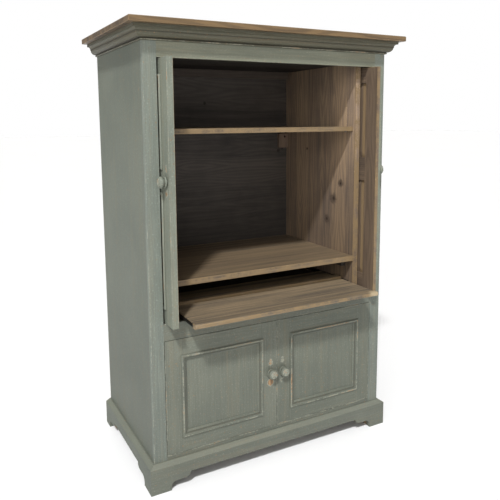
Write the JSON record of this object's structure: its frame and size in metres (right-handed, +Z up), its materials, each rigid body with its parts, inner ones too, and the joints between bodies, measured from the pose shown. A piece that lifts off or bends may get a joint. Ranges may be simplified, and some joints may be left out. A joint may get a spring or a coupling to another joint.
{
  "type": "computer armoire",
  "caption": "Computer armoire with pocket doors slid back, pull-out keyboard tray, monitor shelf, adjustable shelf and a lower cupboard with panelled doors.",
  "frame": {"origin": "on the floor, midway across the width and midway between the back and the front of the pulled-out tray", "axes": "+Z up, +X to the viewer's right when facing the doors, +Y towards the back"},
  "size_m": [1.306, 0.814, 1.895],
  "materials": {
    "case_paint": "worn sage-green milk paint over pine, brushed",
    "frame_paint": "worn sage-green milk paint over pine, rubbed through at the edges",
    "door_paint": "worn sage-green milk paint over pine, rubbed through round the knobs",
    "trim_paint": "worn sage-green milk paint over pine, rubbed through on its arrises",
    "knob_paint": "worn sage-green milk paint over turned pine",
    "interior_stain": "dark brown stained pine, matt",
    "shelf_stain": "mid brown stained pine with a satin wax",
    "top_stain": "waxed mid brown pine",
    "bare_pine": "bare pine",
    "zinc_steel": "zinc plated",
    "black_steel": "black coated, satin",
    "catch_plastic": "dark brown moulded"
  },
  "bodies": {
    "case": {"side_panel_left": "case_paint", "side_panel_right": "case_paint", "face_stile_left": "frame_paint", "face_stile_right": "frame_paint", "top_rail": "frame_paint", "mid_rail": "frame_paint", "bottom_rail": "frame_paint", "partition_left": "interior_stain", "partition_right": "interior_stain", "ceiling_panel": "interior_stain", "tray_deck": "interior_stain", "cupboard_floor": "interior_stain", "desk_shelf": "shelf_stain", "desk_cleats": "interior_stain", "adjustable_shelf": "shelf_stain", "shelf_pins": "zinc_steel", "back_panel": "interior_stain", "back_cleat": "interior_stain", "fixing_block": "bare_pine", "back_screws": "zinc_steel", "top_board": "top_stain", "crown_front": "trim_paint", "crown_left": "trim_paint", "crown_right": "trim_paint", "plinth_front": "trim_paint", "plinth_left": "trim_paint", "plinth_right": "trim_paint", "plinth_back": "bare_pine", "corner_blocks": "bare_pine", "door_catches": "catch_plastic", "pocket_slides": "zinc_steel", "tray_slide_channels": "black_steel", "hinge_plates": "zinc_steel"},
    "keyboard_tray": {"tray_board": "shelf_stain", "tray_nosing": "shelf_stain", "tray_batten": "shelf_stain", "tray_slide_runners": "black_steel"},
    "left_pocket_door": {"left_pocket_frame": "door_paint", "left_pocket_panels": "door_paint", "left_pocket_moulding": "trim_paint", "left_pocket_knob": "knob_paint", "left_pocket_hinges": "zinc_steel", "left_pocket_carrier": "bare_pine"},
    "right_pocket_door": {"right_pocket_frame": "door_paint", "right_pocket_panels": "door_paint", "right_pocket_moulding": "trim_paint", "right_pocket_knob": "knob_paint", "right_pocket_hinges": "zinc_steel", "right_pocket_carrier": "bare_pine"},
    "left_cupboard_door": {"left_cupboard_frame": "door_paint", "left_cupboard_panel": "door_paint", "left_cupboard_moulding": "trim_paint", "left_cupboard_knob": "knob_paint", "left_cupboard_hinges": "zinc_steel"},
    "right_cupboard_door": {"right_cupboard_frame": "door_paint", "right_cupboard_panel": "door_paint", "right_cupboard_moulding": "trim_paint", "right_cupboard_knob": "knob_paint", "right_cupboard_hinges": "zinc_steel"}
  },
  "joints": [
    {"name": "tray_slide", "type": "slide", "parent": "case", "child": "keyboard_tray", "axis": [0, -1, 0], "range_m": [-0.196, 0.1]},
    {"name": "left_pocket_slide", "type": "slide", "parent": "case", "child": "left_pocket_door", "axis": [0, -1, 0], "range_m": [-0.025, 0.415]},
    {"name": "right_pocket_slide", "type": "slide", "parent": "case", "child": "right_pocket_door", "axis": [0, -1, 0], "range_m": [-0.007, 0.433]},
    {"name": "left_cupboard_hinge", "type": "hinge", "parent": "case", "child": "left_cupboard_door", "pos_m": [-0.527, -0.261, 0.388], "axis": [0, 0, -1], "range_deg": [0, 105]},
    {"name": "right_cupboard_hinge", "type": "hinge", "parent": "case", "child": "right_cupboard_door", "pos_m": [0.527, -0.261, 0.388], "axis": [0, 0, 1], "range_deg": [0, 105]}
  ]
}
